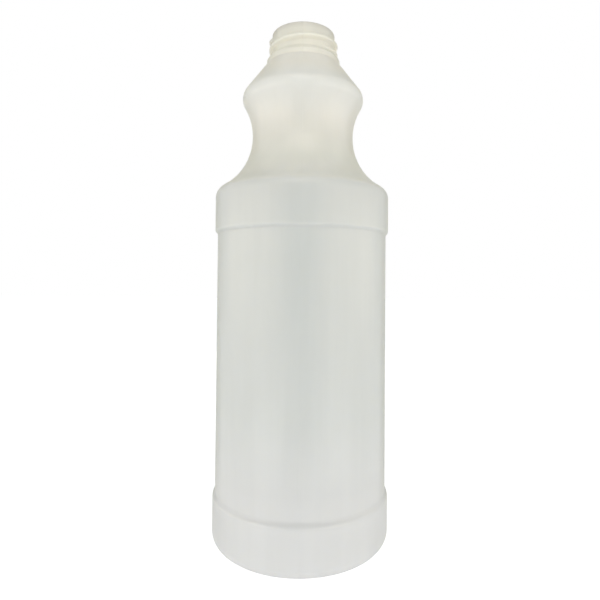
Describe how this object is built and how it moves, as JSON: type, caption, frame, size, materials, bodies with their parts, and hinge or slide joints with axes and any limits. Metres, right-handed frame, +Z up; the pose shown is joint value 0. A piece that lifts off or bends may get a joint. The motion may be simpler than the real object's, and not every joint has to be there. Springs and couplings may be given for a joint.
{
  "type": "plastic spray bottle",
  "caption": "Blow-moulded milky HDPE spray bottle with a recessed round label panel, a waisted grip and an open threaded neck that takes a trigger head.",
  "frame": {"origin": "middle of the base, on the plane the bottle stands on", "axes": "+Z up the bottle's axis to the mouth; the mould's parting line is at the front (-Y) and the back (+Y)"},
  "size_m": [0.079, 0.079, 0.2302],
  "materials": {
    "natural_hdpe": "natural undyed HDPE, milky and translucent, satin"
  },
  "bodies": {
    "root": {"bottle": "natural_hdpe"}
  },
  "joints": []
}
